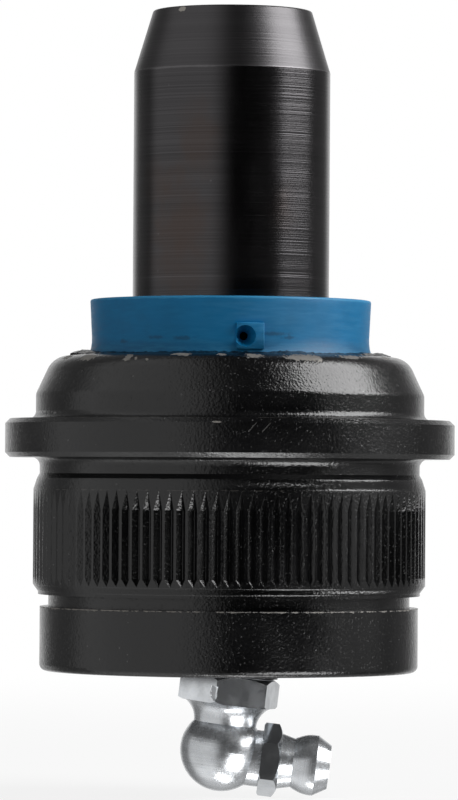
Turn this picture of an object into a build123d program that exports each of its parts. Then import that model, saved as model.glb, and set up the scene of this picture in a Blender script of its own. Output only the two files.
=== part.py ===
from build123d import *
import os
from math import asin, cos, hypot, radians, sin, sqrt, tan

# Press-in suspension ball joint: a ball stud that tilts and turns in a knurled, flanged housing,
# with a dust seal under the stud's shank and a leaning elbow grease fitting in the base.
# Sizes are in millimetres. The origin is the centre of the ball, +Z runs up the stud,
# and the seal's vent faces -Y.

os.makedirs("parts", exist_ok=True)

# Clearances
fit_gap = 0.02  # between pieces that are pressed, screwed or seated together
running_gap = 0.05  # between the ball and its bearings
slide_gap = 0.1  # between the floating bearing and its bore
swing_gap = 0.4  # between the swinging neck and the housing
seal_gap = 0.1  # between the seal and the metal that it wipes

# Ball stud
ball_radius = 13.0
ball_flat_depth = 0.8  # flat turned on the ball's lower pole
neck_radius = 8.0
neck_fillet = 1.5
stud_radius = 10.45
stud_reach = 24.1  # plain shank above the seal
seal_land_depth = 0.25  # step down to the ground land that the seal wipes
lead_height = 6.6  # tapered lead-in at the top
lead_inset = 2.0
stud_edge_break = 0.25
center_pilot_radius = 0.8
center_mouth_radius = 1.7
center_depth = 3.2
tilt_limit = radians(15)
preload_travel = 0.4  # how far the springs let the ball sink

# Bearings and preload springs
race_wall = 2.45
race_skirt = 1.0  # how far the upper race reaches below the ball's centre
race_rim = 1.05  # land of the upper race above its spherical seat
race_cylinder = 2.5  # height of the race's straight outside above the ball's centre
assembly_gap = 0.4  # lets the shank pass up through the race
seat_rim_drop = 2.2  # top of the lower bearing, below the ball's centre
grease_grooves = 6
grease_groove_width = 1.6
grease_groove_depth = 0.7
washer_thickness = 0.5
spring_thickness = 0.6
spring_cone = 0.45
spring_bore_radius = 8.5
spring_rim_inset = 0.5

# Housing, from the base up
ball_clearance = 0.7  # between the ball and the cover plate
lip_thickness = 0.8  # rolled lip that holds the cover plate
lip_overlap = 1.2
cover_thickness = 2.5
cover_ledge = 1.1
pilot_wall = 3.5
pilot_height = 6.8
pilot_round = 0.7
groove_width = 1.3  # for the retaining ring that goes on after pressing in
groove_depth = 0.9
knurl_rise = 0.75
knurl_height = 12.3
knurl_teeth = 106
knurl_groove_depth = 0.45
knurl_left_flank = 0.6  # each groove leans: seen from outside, its left flank is the wider one
knurl_right_flank = 0.37
knurl_turn = 1.8  # degrees from +X to the first groove
knurl_groove_flat = 0.04  # width of the flat left at the root
knurl_lower_point = 0.8  # length of the pointed run-out at each end of a groove
knurl_upper_point = 2.0
knurl_lower_chamfer = 0.75
knurl_lower_drop = 0.55
knurl_upper_taper = 1.15
knurl_upper_drop = 0.37
neck_height = 2.2  # relief between the knurl and the flange
relief_rise = 0.1
relief_fillet = 0.9
flange_thickness = 4.1
flange_overhang = 3.05
flange_chamfer = 0.5
dome_rise = 0.55
dome_least_height = 5.8
race_cover = 8.11  # metal above the race, with the seal's pocket in it
dome_wall = 2.65  # straight side of the dome above the flange
dome_slope_inset = 1.88
dome_round = 2.4
dome_fillet = 0.8

# Dust seal
seal_height = 6.0
seal_bore_gap = 0.27  # between the seal's wall and the swinging neck
seal_wall = 1.6
seal_top_thickness = 0.8
seal_sleeve_wall = 0.75
seal_waist = 0.2
seal_waist_height = 1.9
seal_flare = 0.2
seal_edge_round = 0.2
bead_height = 1.1
bead_width = 0.7
crimp_thickness = 0.6  # housing edge rolled over the seal's bead
ring_width = 0.45  # flat wire of the seal's two rings
ring_height = 0.6
vent_angle = radians(7.8)
vent_hole_angle = radians(5.8)
vent_height = 1.85  # centre of the vent above the dome
vent_pad_width = 2.9
vent_pad_height = 2.75
vent_pad_proud = 0.3
vent_mouth_radius = 1.1
vent_throat_radius = 0.35

# Elbow grease fitting and its nipple
fitting_lean = radians(6.8)
fitting_offset = 0.3  # the tapped hole sits a little off the housing's axis
fitting_standoff = 0.3  # how far the hex hangs below the rim
fitting_thread_radius = 3.175
fitting_thread_length = 3.05
cover_boss_wall = 1.8
elbow_hex_width = 9.525
elbow_hex_height = 3.15
elbow_hex_turn = 15.4
elbow_neck_inset = 0.11
elbow_waist_radius = 3.33
elbow_waist_drop = 5.3
elbow_shoulder_radius = 4.0
elbow_shoulder_drop = 6.3
elbow_ball_radius = 4.42
elbow_ball_drop = 8.1
elbow_boss_wall = 0.6
spot_face_depth = 0.22
elbow_passage_radius = 1.0
nipple_drop = 0.45  # nipple's axis below the middle of the elbow's ball
nipple_thread_radius = 2.4
nipple_thread_length = 2.6
nipple_hex_width = 6.75
nipple_hex_height = 2.05
collar_radius = 2.95
collar_length = 1.4
nipple_groove_radius = 2.6
head_radius = 3.22
head_rise = 2.0
head_land = 0.45
head_front = 1.45
tip_radius = 2.35
mouth_radius = 0.95
mouth_depth = 0.38
chamber_radius = 1.35
chamber_floor = 1.6
passage_radius = 0.8
check_ball_radius = 1.15
check_wire_radius = 0.13
check_coil_radius = 0.9
check_coils = 4
hex_chamfer_angle = radians(30)

# Levels that follow from the sizes above, all measured from the ball's centre
cover_top = -ball_radius - ball_clearance
cover_bottom = cover_top - cover_thickness
base_z = cover_bottom - lip_thickness
groove_bottom = base_z + pilot_height
knurl_bottom = groove_bottom + groove_width
knurl_top = knurl_bottom + knurl_height
flange_bottom = knurl_top + neck_height
flange_top = flange_bottom + flange_thickness
spring_top = cover_top + 2 * (spring_thickness + spring_cone) + 3 * fit_gap
washer_top = spring_top + washer_thickness

# Radii that follow from the ball outwards
bearing_radius = ball_radius + running_gap
bore_radius = bearing_radius + race_wall
cover_seat_radius = bore_radius + cover_ledge
pilot_radius = cover_seat_radius + pilot_wall
groove_radius = pilot_radius - groove_depth
knurl_radius = pilot_radius + knurl_rise
relief_radius = pilot_radius + relief_rise
flange_radius = knurl_radius + flange_overhang
dome_radius = pilot_radius + dome_rise
land_radius = stud_radius - seal_land_depth
sleeve_radius = land_radius + seal_gap
sleeve_outer_radius = sleeve_radius + seal_sleeve_wall

# Ball geometry: where the neck's fillet leaves the sphere, as an angle from the stud's axis
neck_start = sqrt(ball_radius**2 - neck_radius**2)
fillet_polar = asin((neck_radius + neck_fillet) / (ball_radius + neck_fillet))
ball_flat_height = ball_radius - ball_flat_depth
ball_flat_radius = sqrt(ball_radius**2 - ball_flat_height**2)


def swing_radius(height):
    """Radius that the tilted neck sweeps at a height above the ball's centre, with its clearance."""
    return height * tan(tilt_limit) + neck_radius / cos(tilt_limit) + swing_gap


# The race's mouth lets the shank through and clears the neck's fillet at full tilt
race_mouth_radius = max(
    stud_radius + assembly_gap,
    bearing_radius * sin(fillet_polar + tilt_limit) + running_gap,
)
race_seat_top = sqrt(bearing_radius**2 - race_mouth_radius**2)
race_top = race_seat_top + race_rim
race_top_radius = race_mouth_radius + 1.45
throat_radius = max(race_mouth_radius + 0.3, swing_radius(race_top + 1.0))

# Levels and radii of the seal's pocket and of the seal, which clears the swinging neck
dome_top = max(race_top + race_cover, flange_top + dome_least_height)
seal_top = dome_top + seal_height
crimp_bottom = dome_top - crimp_thickness
bead_bottom = crimp_bottom - bead_height - 2 * fit_gap
seal_inner_radius = max(
    swing_radius(dome_top) + seal_bore_gap,
    sleeve_outer_radius + 2 * ring_width,
)
seal_radius = seal_inner_radius + seal_wall
crimp_radius = seal_radius + seal_gap
bead_groove_radius = crimp_radius + bead_width
land_top = seal_top + seal_gap
lead_base = land_top + stud_reach
stud_top = lead_base + lead_height

# The shank's underside is a cone that lies flat just above the dome at full tilt
shoulder_clear = dome_top + preload_travel + 0.3
shoulder_base = shoulder_clear / cos(tilt_limit) + neck_radius * tan(tilt_limit)
shoulder_edge = shoulder_base + (land_radius - neck_radius) * tan(tilt_limit)


def near(shape, *points):
    """The vertices of a sketch that lie nearest to the given points."""
    return ShapeList([shape.vertices().sort_by_distance(point)[0] for point in points])


# Ball stud: ball, neck, seal land, straight shank and tapered lead-in, turned in one piece
with BuildPart() as ball_stud:
    with BuildSketch(Plane.XZ) as section:
        with BuildLine():
            Line((0, -ball_flat_height), (ball_flat_radius, -ball_flat_height))
            ThreePointArc(
                (ball_flat_radius, -ball_flat_height),
                (ball_radius, 0),
                (neck_radius, neck_start),
            )
            Polyline(
                (neck_radius, neck_start),
                (neck_radius, shoulder_base),
                (land_radius, shoulder_edge),
                (land_radius, land_top),
                (stud_radius, land_top),
                (stud_radius, lead_base),
                (stud_radius - lead_inset, stud_top),
                (0, stud_top),
                (0, -ball_flat_height),
            )
        make_face()
        fillet(near(section, (neck_radius, neck_start)), radius=neck_fillet)
        fillet(
            near(section, (neck_radius, shoulder_base)),
            radius=min(neck_fillet, 0.7 * (land_radius - neck_radius)),
        )
        fillet(near(section, (stud_radius - lead_inset, stud_top)), radius=stud_edge_break)
        chamfer(near(section, (land_radius, shoulder_edge)), length=stud_edge_break)
    revolve(axis=Axis.Z)
    with Locations((0, 0, stud_top)):
        CounterSinkHole(
            radius=center_pilot_radius,
            counter_sink_radius=center_mouth_radius,
            depth=center_depth,
            counter_sink_angle=60,
        )
ball_stud.part.label = "ball_stud"

# Housing: turned body with the crimped dome, flange, knurl, ring groove and rolled base lip
dome_corner_radius = dome_radius - dome_slope_inset
dome_shoulder = flange_top + dome_wall
knurl_lower_land = 0.3
knurl_bevel_radius = knurl_radius - knurl_lower_drop
knurl_collar_radius = knurl_radius - knurl_upper_drop
lip_radius = cover_seat_radius - lip_overlap
top_flat = dome_corner_radius - crimp_radius

# One knurl groove, as the solid that is cut away: it stands proud of the crests by its own depth
root_half = knurl_groove_flat / 2
groove_left = 2 * knurl_left_flank - root_half
groove_right = root_half - 2 * knurl_right_flank
groove_low = knurl_bottom + knurl_lower_land + knurl_lower_chamfer + 0.05
groove_high = knurl_top - knurl_upper_taper - 0.05
root_low = groove_low + knurl_lower_point
root_high = groove_high - knurl_upper_point


def facet_run(point, mouth):
    """How far an end facet runs along the root's flat, so that the facet stays a plane."""
    return 2 * point * root_half / abs(mouth)


with BuildPart() as knurl_groove:
    with BuildSketch(
        Plane(origin=(knurl_radius + knurl_groove_depth, 0, 0), x_dir=(0, 0, 1), z_dir=(1, 0, 0))
    ):
        Polygon(
            (groove_low - knurl_lower_point, 0),
            (root_low, groove_left),
            (root_high, groove_left),
            (groove_high + knurl_upper_point, 0),
            (root_high, groove_right),
            (root_low, groove_right),
            align=None,
        )
    with BuildSketch(
        Plane(origin=(knurl_radius - knurl_groove_depth, 0, 0), x_dir=(0, 0, 1), z_dir=(1, 0, 0))
    ):
        Polygon(
            (root_low, 0),
            (root_low + facet_run(knurl_lower_point, groove_left), root_half),
            (root_high - facet_run(knurl_upper_point, groove_left), root_half),
            (root_high, 0),
            (root_high - facet_run(knurl_upper_point, groove_right), -root_half),
            (root_low + facet_run(knurl_lower_point, groove_right), -root_half),
            align=None,
        )
    loft(ruled=True)

with BuildPart() as housing:
    with BuildSketch(Plane.XZ) as section:
        with BuildLine():
            Polyline(
                (crimp_radius, dome_top),
                (dome_corner_radius, dome_top),
                (dome_radius, dome_shoulder),
                (dome_radius, flange_top),
                (flange_radius, flange_top),
                (flange_radius, flange_bottom),
                (relief_radius, flange_bottom),
                (relief_radius, knurl_top + 0.5),
                (knurl_collar_radius, knurl_top),
                (knurl_radius, knurl_top - knurl_upper_taper),
                (knurl_radius, knurl_bottom + knurl_lower_chamfer + knurl_lower_land),
                (knurl_bevel_radius, knurl_bottom + knurl_lower_land),
                (knurl_bevel_radius, knurl_bottom),
                (groove_radius, knurl_bottom),
                (groove_radius, groove_bottom),
                (pilot_radius, groove_bottom),
                (pilot_radius, base_z),
                (lip_radius, base_z),
                (lip_radius, cover_bottom),
                (cover_seat_radius, cover_bottom),
                (cover_seat_radius, cover_top),
                (bore_radius, cover_top),
                (bore_radius, race_cylinder),
                (race_top_radius, race_top),
                (throat_radius, race_top),
                (throat_radius, race_top + 1.0),
                (swing_radius(bead_bottom), bead_bottom),
                (bead_groove_radius, bead_bottom),
                (bead_groove_radius, crimp_bottom),
                (crimp_radius, crimp_bottom),
                close=True,
            )
        make_face()
        fillet(
            near(section, (dome_corner_radius, dome_top)),
            radius=min(dome_round, top_flat),
        )
        fillet(near(section, (dome_radius, dome_shoulder)), radius=dome_fillet)
        fillet(near(section, (dome_radius, flange_top)), radius=dome_fillet)
        chamfer(
            near(section, (flange_radius, flange_top), (flange_radius, flange_bottom)),
            length=flange_chamfer,
        )
        fillet(near(section, (relief_radius, flange_bottom)), radius=relief_fillet)
        fillet(near(section, (pilot_radius, base_z)), radius=pilot_round)
    revolve(axis=Axis.Z)
    # straight knurl: V grooves between the teeth, each running out to a point at both ends
    with PolarLocations(0, knurl_teeth, start_angle=knurl_turn):
        add(knurl_groove.part, mode=Mode.SUBTRACT)
housing.part.label = "housing"

# Spherical bearings: the upper race is pressed into the cone, the lower bearing floats
race_bottom_radius = sqrt(bearing_radius**2 - race_skirt**2)
with BuildPart() as upper_race:
    with BuildSketch(Plane.XZ) as section:
        with BuildLine():
            Polyline(
                (race_mouth_radius, race_seat_top),
                (race_mouth_radius, race_top - fit_gap),
                (race_top_radius - fit_gap, race_top - fit_gap),
                (bore_radius - fit_gap, race_cylinder),
                (bore_radius - fit_gap, -race_skirt),
                (race_bottom_radius, -race_skirt),
            )
            ThreePointArc(
                (race_bottom_radius, -race_skirt),
                (bearing_radius, 0),
                (race_mouth_radius, race_seat_top),
            )
        make_face()
        chamfer(near(section, (bore_radius - fit_gap, -race_skirt)), length=0.3)
    revolve(axis=Axis.Z)
    with PolarLocations(0, grease_grooves // 2):
        Cylinder(
            radius=bearing_radius + grease_groove_depth,
            height=grease_groove_width,
            rotation=(90, 0, 0),
            mode=Mode.SUBTRACT,
        )
upper_race.part.label = "upper_race"

seat_top = -seat_rim_drop
seat_bottom = washer_top + fit_gap
seat_top_radius = sqrt(bearing_radius**2 - seat_top**2)
seat_bottom_radius = sqrt(bearing_radius**2 - seat_bottom**2)
seat_middle = (seat_top + seat_bottom) / 2
with BuildPart() as lower_bearing:
    with BuildSketch(Plane.XZ) as section:
        with BuildLine():
            Polyline(
                (seat_bottom_radius, seat_bottom),
                (bore_radius - slide_gap, seat_bottom),
                (bore_radius - slide_gap, seat_top),
                (seat_top_radius, seat_top),
            )
            ThreePointArc(
                (seat_top_radius, seat_top),
                (sqrt(bearing_radius**2 - seat_middle**2), seat_middle),
                (seat_bottom_radius, seat_bottom),
            )
        make_face()
        chamfer(near(section, (bore_radius - slide_gap, seat_top)), length=0.4)
        chamfer(near(section, (bore_radius - slide_gap, seat_bottom)), length=0.6)
    revolve(axis=Axis.Z)
    with PolarLocations(0, grease_grooves // 2):
        Cylinder(
            radius=bearing_radius + grease_groove_depth,
            height=grease_groove_width,
            rotation=(90, 0, 0),
            mode=Mode.SUBTRACT,
        )
lower_bearing.part.label = "lower_bearing"

# Flat washer between the bearing and the springs
with BuildPart() as thrust_washer:
    with BuildSketch(Plane.XY.offset(spring_top)):
        Circle(bore_radius - slide_gap)
        Circle(spring_bore_radius, mode=Mode.SUBTRACT)
    extrude(amount=washer_thickness)
thrust_washer.part.label = "thrust_washer"

# Two conical spring washers, back to back
spring_rim_radius = bore_radius - spring_rim_inset
lower_spring_bottom = cover_top + fit_gap
upper_spring_bottom = lower_spring_bottom + spring_thickness + spring_cone + fit_gap


def spring_section(bottom, bore_rise, rim_rise):
    """Cross-section of a conical washer, as a closed outline in the radial plane."""
    return [
        (spring_bore_radius, bottom + bore_rise),
        (spring_rim_radius, bottom + rim_rise),
        (spring_rim_radius, bottom + rim_rise + spring_thickness),
        (spring_bore_radius, bottom + bore_rise + spring_thickness),
    ]


with BuildPart() as lower_spring:
    with BuildSketch(Plane.XZ):
        Polygon(*spring_section(lower_spring_bottom, spring_cone, 0), align=None)
    revolve(axis=Axis.Z)
lower_spring.part.label = "lower_spring"

with BuildPart() as upper_spring:
    with BuildSketch(Plane.XZ):
        Polygon(*spring_section(upper_spring_bottom, 0, spring_cone), align=None)
    revolve(axis=Axis.Z)
upper_spring.part.label = "upper_spring"

# The fitting hangs from a leaning frame: x points out along the nipple, z up through the cover
fitting_x = (cos(fitting_lean), 0, -sin(fitting_lean))
fitting_z = (sin(fitting_lean), 0, cos(fitting_lean))
fitting_origin = (fitting_offset, 0, base_z - fitting_standoff)
fitting_plane = Plane(origin=fitting_origin, x_dir=fitting_x, z_dir=fitting_z)
fitting_section = Plane(origin=fitting_origin, x_dir=fitting_x, z_dir=(0, -1, 0))
fitting_axis = Axis(fitting_origin, fitting_z)
cover_boss_radius = fitting_thread_radius + cover_boss_wall
elbow_neck_radius = elbow_hex_width / 2 - elbow_neck_inset
elbow_boss_radius = nipple_thread_radius + elbow_boss_wall
elbow_boss_reach = elbow_ball_radius - spot_face_depth
nipple_level = elbow_ball_drop + nipple_drop
nipple_origin = (
    fitting_origin[0] + elbow_boss_reach * fitting_x[0] - nipple_level * fitting_z[0],
    0,
    fitting_origin[2] + elbow_boss_reach * fitting_x[2] - nipple_level * fitting_z[2],
)
nipple_plane = Plane(origin=nipple_origin, x_dir=fitting_z, z_dir=fitting_x)
nipple_section = Plane(origin=nipple_origin, x_dir=fitting_x, z_dir=(0, -1, 0))
nipple_axis = Axis(nipple_origin, fitting_x)

# Cover plate: closes the bore from below and carries the fitting on a leaning boss
cover_boss_height = (cover_bottom - base_z + fitting_standoff) / cos(fitting_lean) + (
    cover_boss_radius + fitting_offset
) * tan(fitting_lean)
with BuildPart() as cover_plate:
    with BuildSketch(Plane.XZ) as section:
        with BuildLine():
            Polyline(
                (0, cover_bottom + fit_gap),
                (cover_boss_radius + 2.2, cover_bottom + fit_gap),
                (cover_boss_radius + 2.8, cover_bottom + 0.6),
                (lip_radius - 3.2, cover_bottom + 0.6),
                (lip_radius - 2.6, cover_bottom + fit_gap),
                (cover_seat_radius - fit_gap, cover_bottom + fit_gap),
                (cover_seat_radius - fit_gap, cover_top - fit_gap),
                (0, cover_top - fit_gap),
                close=True,
            )
        make_face()
        chamfer(
            near(section, (cover_seat_radius - fit_gap, cover_top - fit_gap)),
            length=0.2,
        )
    revolve(axis=Axis.Z)
    with BuildSketch(fitting_plane.offset(fit_gap)):
        Circle(cover_boss_radius)
    extrude(amount=cover_boss_height)
    with BuildSketch(fitting_plane.offset(fit_gap)):
        Circle(fitting_thread_radius + fit_gap)
    extrude(amount=-base_z, mode=Mode.SUBTRACT)
cover_plate.part.label = "cover_plate"

# Elbow fitting: hex, waisted neck and ball-shaped body with a spot-faced boss for the nipple
hex_corner_radius = elbow_hex_width / sqrt(3)
chamfer_drop = (hex_corner_radius - elbow_hex_width / 2) * tan(hex_chamfer_angle) + 0.2
with BuildPart() as elbow_fitting:
    with BuildSketch(fitting_plane):
        RegularPolygon(
            radius=hex_corner_radius, side_count=6, rotation=elbow_hex_turn
        )
    extrude(amount=-elbow_hex_height)
    with BuildSketch(fitting_section):
        Polygon(
            (0, 0),
            (hex_corner_radius - chamfer_drop / tan(hex_chamfer_angle), 0),
            (hex_corner_radius, -chamfer_drop),
            (hex_corner_radius, -elbow_hex_height + 0.2),
            (hex_corner_radius - 0.35, -elbow_hex_height),
            (0, -elbow_hex_height),
            align=None,
        )
    revolve(axis=fitting_axis, mode=Mode.INTERSECT)
    ball_bottom = -elbow_ball_drop - elbow_ball_radius
    neck_middle = (
        (elbow_neck_radius + 3 * elbow_waist_radius) / 4,
        (-1.1 * elbow_hex_height - 0.9 * elbow_waist_drop) / 2,
    )
    with BuildSketch(fitting_section):
        with BuildLine():
            Polyline(
                (0, ball_bottom),
                (0, fitting_thread_length),
                (fitting_thread_radius - 0.4, fitting_thread_length),
                (fitting_thread_radius, fitting_thread_length - 0.4),
                (fitting_thread_radius, -0.1),
                (elbow_neck_radius, -0.1),
                (elbow_neck_radius, -elbow_hex_height),
            )
            ThreePointArc(
                (elbow_neck_radius, -elbow_hex_height),
                neck_middle,
                (elbow_waist_radius, -elbow_waist_drop),
            )
            Spline(
                (elbow_waist_radius, -elbow_waist_drop),
                (elbow_shoulder_radius, -elbow_shoulder_drop),
                (elbow_ball_radius, -elbow_ball_drop),
                tangents=((0.9, -1.0), (0, -1)),
            )
            ThreePointArc(
                (elbow_ball_radius, -elbow_ball_drop),
                (
                    elbow_ball_radius * sin(radians(45)),
                    -elbow_ball_drop - elbow_ball_radius * cos(radians(45)),
                ),
                (0, ball_bottom),
            )
        make_face()
    revolve(axis=fitting_axis)
    with BuildSketch(nipple_plane):
        Circle(elbow_boss_radius)
    extrude(amount=-elbow_boss_reach)
    with BuildSketch(nipple_plane):
        Circle(elbow_ball_radius)
    extrude(amount=elbow_ball_radius, mode=Mode.SUBTRACT)
    with BuildSketch(nipple_plane):
        Circle(nipple_thread_radius + fit_gap)
    extrude(amount=-nipple_thread_length - 0.3, mode=Mode.SUBTRACT)
    with BuildSketch(nipple_plane):
        Circle(elbow_passage_radius)
    extrude(amount=-elbow_boss_reach - elbow_passage_radius / 2, mode=Mode.SUBTRACT)
    with BuildSketch(fitting_plane.offset(-nipple_level)):
        Circle(elbow_passage_radius)
    extrude(amount=nipple_level + fitting_thread_length, mode=Mode.SUBTRACT)
elbow_fitting.part.label = "elbow_fitting"

# Grease nipple: thread, small hex, collar and coupler head, bored for its check valve
collar_end = nipple_hex_height + collar_length
head_start = collar_end + head_rise
head_end = head_start + head_land
tip = head_end + head_front
seat_edge = tip - mouth_depth
nipple_corner_radius = nipple_hex_width / sqrt(3)
with BuildPart() as grease_nipple:
    with BuildSketch(nipple_plane.offset(fit_gap)):
        RegularPolygon(radius=nipple_corner_radius, side_count=6)
    extrude(amount=nipple_hex_height - fit_gap)
    with BuildSketch(nipple_section):
        Polygon(
            (0, 0),
            (0, nipple_corner_radius - 0.25),
            (0.2, nipple_corner_radius),
            (nipple_hex_height - 0.45, nipple_corner_radius),
            (nipple_hex_height, nipple_corner_radius - 0.65),
            (nipple_hex_height, 0),
            align=None,
        )
    revolve(axis=nipple_axis, mode=Mode.INTERSECT)
    with BuildSketch(nipple_section):
        with BuildLine():
            Polyline(
                (-nipple_thread_length, passage_radius),
                (-nipple_thread_length, nipple_thread_radius - 0.3),
                (0.3 - nipple_thread_length, nipple_thread_radius),
                (nipple_hex_height / 2, nipple_thread_radius),
                (nipple_hex_height / 2, collar_radius),
                (nipple_hex_height, collar_radius),
                (collar_end, nipple_groove_radius),
            )
            Spline(
                (collar_end, nipple_groove_radius),
                (collar_end + 0.45 * head_rise, (nipple_groove_radius + 2 * head_radius) / 3),
                (head_start, head_radius),
                tangents=((1, 0.55), (1, 0)),
            )
            Polyline(
                (head_start, head_radius),
                (head_end, head_radius),
                (tip, tip_radius),
                (tip, mouth_radius + 0.25),
                (tip - 0.25, mouth_radius),
                (seat_edge, mouth_radius),
                (seat_edge - 0.2, chamber_radius),
                (chamber_floor, chamber_radius),
                (chamber_floor, passage_radius),
                (-nipple_thread_length, passage_radius),
            )
        make_face()
    revolve(axis=nipple_axis)
    with BuildSketch(nipple_plane.offset(-nipple_thread_length)):
        Circle(passage_radius)
    extrude(amount=nipple_thread_length + chamber_floor, mode=Mode.SUBTRACT)
    with BuildSketch(nipple_plane.offset(chamber_floor)):
        Circle(chamber_radius)
    extrude(amount=seat_edge - 0.2 - chamber_floor, mode=Mode.SUBTRACT)
grease_nipple.part.label = "grease_nipple"

# Check valve: a ball held against the mouth by a coil spring
check_center = seat_edge - sqrt(check_ball_radius**2 - mouth_radius**2) - fit_gap
check_position = tuple(
    nipple_origin[axis] + check_center * fitting_x[axis] for axis in range(3)
)
with BuildPart() as check_ball:
    with Locations(check_position):
        Sphere(radius=check_ball_radius)
check_ball.part.label = "check_ball"

coil_start = chamber_floor + check_wire_radius + fit_gap
coil_touch = sqrt(check_ball_radius**2 - check_coil_radius**2)
coil_end = check_center - coil_touch - check_wire_radius - 0.1
coil_origin = tuple(nipple_origin[axis] + coil_start * fitting_x[axis] for axis in range(3))
with BuildPart() as check_spring:
    with BuildLine() as coil:
        Helix(
            pitch=(coil_end - coil_start) / check_coils,
            height=coil_end - coil_start,
            radius=check_coil_radius,
            center=coil_origin,
            direction=fitting_x,
        )
    with BuildSketch(Plane(origin=coil.line @ 0, z_dir=coil.line % 0)):
        RegularPolygon(radius=check_wire_radius, side_count=6)
    sweep(path=coil.line, is_frenet=True)
check_spring.part.label = "check_spring"

# Dust seal: beaded foot under the crimp, waisted wall, and a sleeve lip on the stud's land
foot_level = dome_top + fit_gap
bead_low = bead_bottom + fit_gap
bead_high = crimp_bottom - fit_gap
bead_radius = bead_groove_radius - seal_gap
sleeve_bottom = shoulder_edge + seal_gap
roof = seal_top - seal_top_thickness
bead_ring_level = (bead_low + bead_high) / 2
lip_ring_level = (sleeve_bottom + roof) / 2
bead_ring_radius = seal_inner_radius + ring_width / 4
lip_ring_radius = sleeve_outer_radius + ring_width / 4
vent_level = dome_top + vent_height
pad_direction = (sin(vent_angle), -cos(vent_angle), 0)
hole_direction = (sin(vent_hole_angle), -cos(vent_hole_angle), 0)
pad_face = seal_radius + vent_pad_proud


def outward_plane(direction, distance):
    """A plane that faces out of the seal at the vent's height, square to a direction."""
    return Plane(
        origin=(distance * direction[0], distance * direction[1], vent_level),
        x_dir=(0, 0, 1),
        z_dir=direction,
    )


with BuildPart() as dust_seal:
    with BuildSketch(Plane.XZ) as section:
        with BuildLine():
            Polyline(
                (sleeve_radius, seal_top),
                (seal_radius, seal_top),
            )
            Line(
                (seal_radius, seal_top),
                (seal_radius - seal_waist, foot_level + seal_waist_height),
            )
            ThreePointArc(
                (seal_radius - seal_waist, foot_level + seal_waist_height),
                (seal_radius - 0.6 * seal_waist, foot_level + 0.45 * seal_waist_height),
                (seal_radius + seal_flare, foot_level),
            )
            Polyline(
                (seal_radius + seal_flare, foot_level),
                (seal_radius, foot_level),
                (seal_radius, bead_high),
                (bead_radius, bead_high),
                (bead_radius, bead_low),
                (seal_inner_radius, bead_low),
                (seal_inner_radius, roof),
                (sleeve_outer_radius, roof),
                (sleeve_outer_radius, sleeve_bottom),
                (sleeve_radius, sleeve_bottom),
                (sleeve_radius, seal_top),
            )
        make_face()
        chamfer(near(section, (seal_radius, seal_top)), length=seal_edge_round)
        chamfer(near(section, (seal_inner_radius, roof)), length=0.8)
        with Locations((bead_ring_radius, bead_ring_level), (lip_ring_radius, lip_ring_level)):
            Rectangle(
                ring_width + 2 * fit_gap, ring_height + 2 * fit_gap, mode=Mode.SUBTRACT
            )
    revolve(axis=Axis.Z)
    with BuildSketch(outward_plane(pad_direction, pad_face)):
        Rectangle(vent_pad_height, vent_pad_width)
    extrude(amount=-(seal_wall / 2 + vent_pad_proud))
    with BuildSketch(outward_plane(hole_direction, pad_face)):
        Circle(vent_mouth_radius)
    with BuildSketch(outward_plane(hole_direction, seal_inner_radius - 0.2)):
        Circle(vent_throat_radius)
    loft(mode=Mode.SUBTRACT)
dust_seal.part.label = "dust_seal"

# Flat wire rings: one holds the seal's bead out in its groove, the other draws the lip in
with BuildPart() as bead_ring:
    with BuildSketch(Plane.XZ):
        with Locations((bead_ring_radius, bead_ring_level)):
            Rectangle(ring_width, ring_height)
    revolve(axis=Axis.Z)
bead_ring.part.label = "bead_ring"

with BuildPart() as lip_ring:
    with BuildSketch(Plane.XZ):
        with Locations((lip_ring_radius, lip_ring_level)):
            Rectangle(ring_width, ring_height)
    revolve(axis=Axis.Z)
lip_ring.part.label = "lip_ring"

for name, piece in (
    ("ball_stud", ball_stud),
    ("housing", housing),
    ("upper_race", upper_race),
    ("lower_bearing", lower_bearing),
    ("thrust_washer", thrust_washer),
    ("lower_spring", lower_spring),
    ("upper_spring", upper_spring),
    ("cover_plate", cover_plate),
    ("elbow_fitting", elbow_fitting),
    ("grease_nipple", grease_nipple),
    ("check_ball", check_ball),
    ("check_spring", check_spring),
    ("dust_seal", dust_seal),
    ("bead_ring", bead_ring),
    ("lip_ring", lip_ring),
):
    export_step(piece.part, f"parts/{name}.step")
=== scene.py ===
from math import cos, degrees, pi, radians, sin

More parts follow.
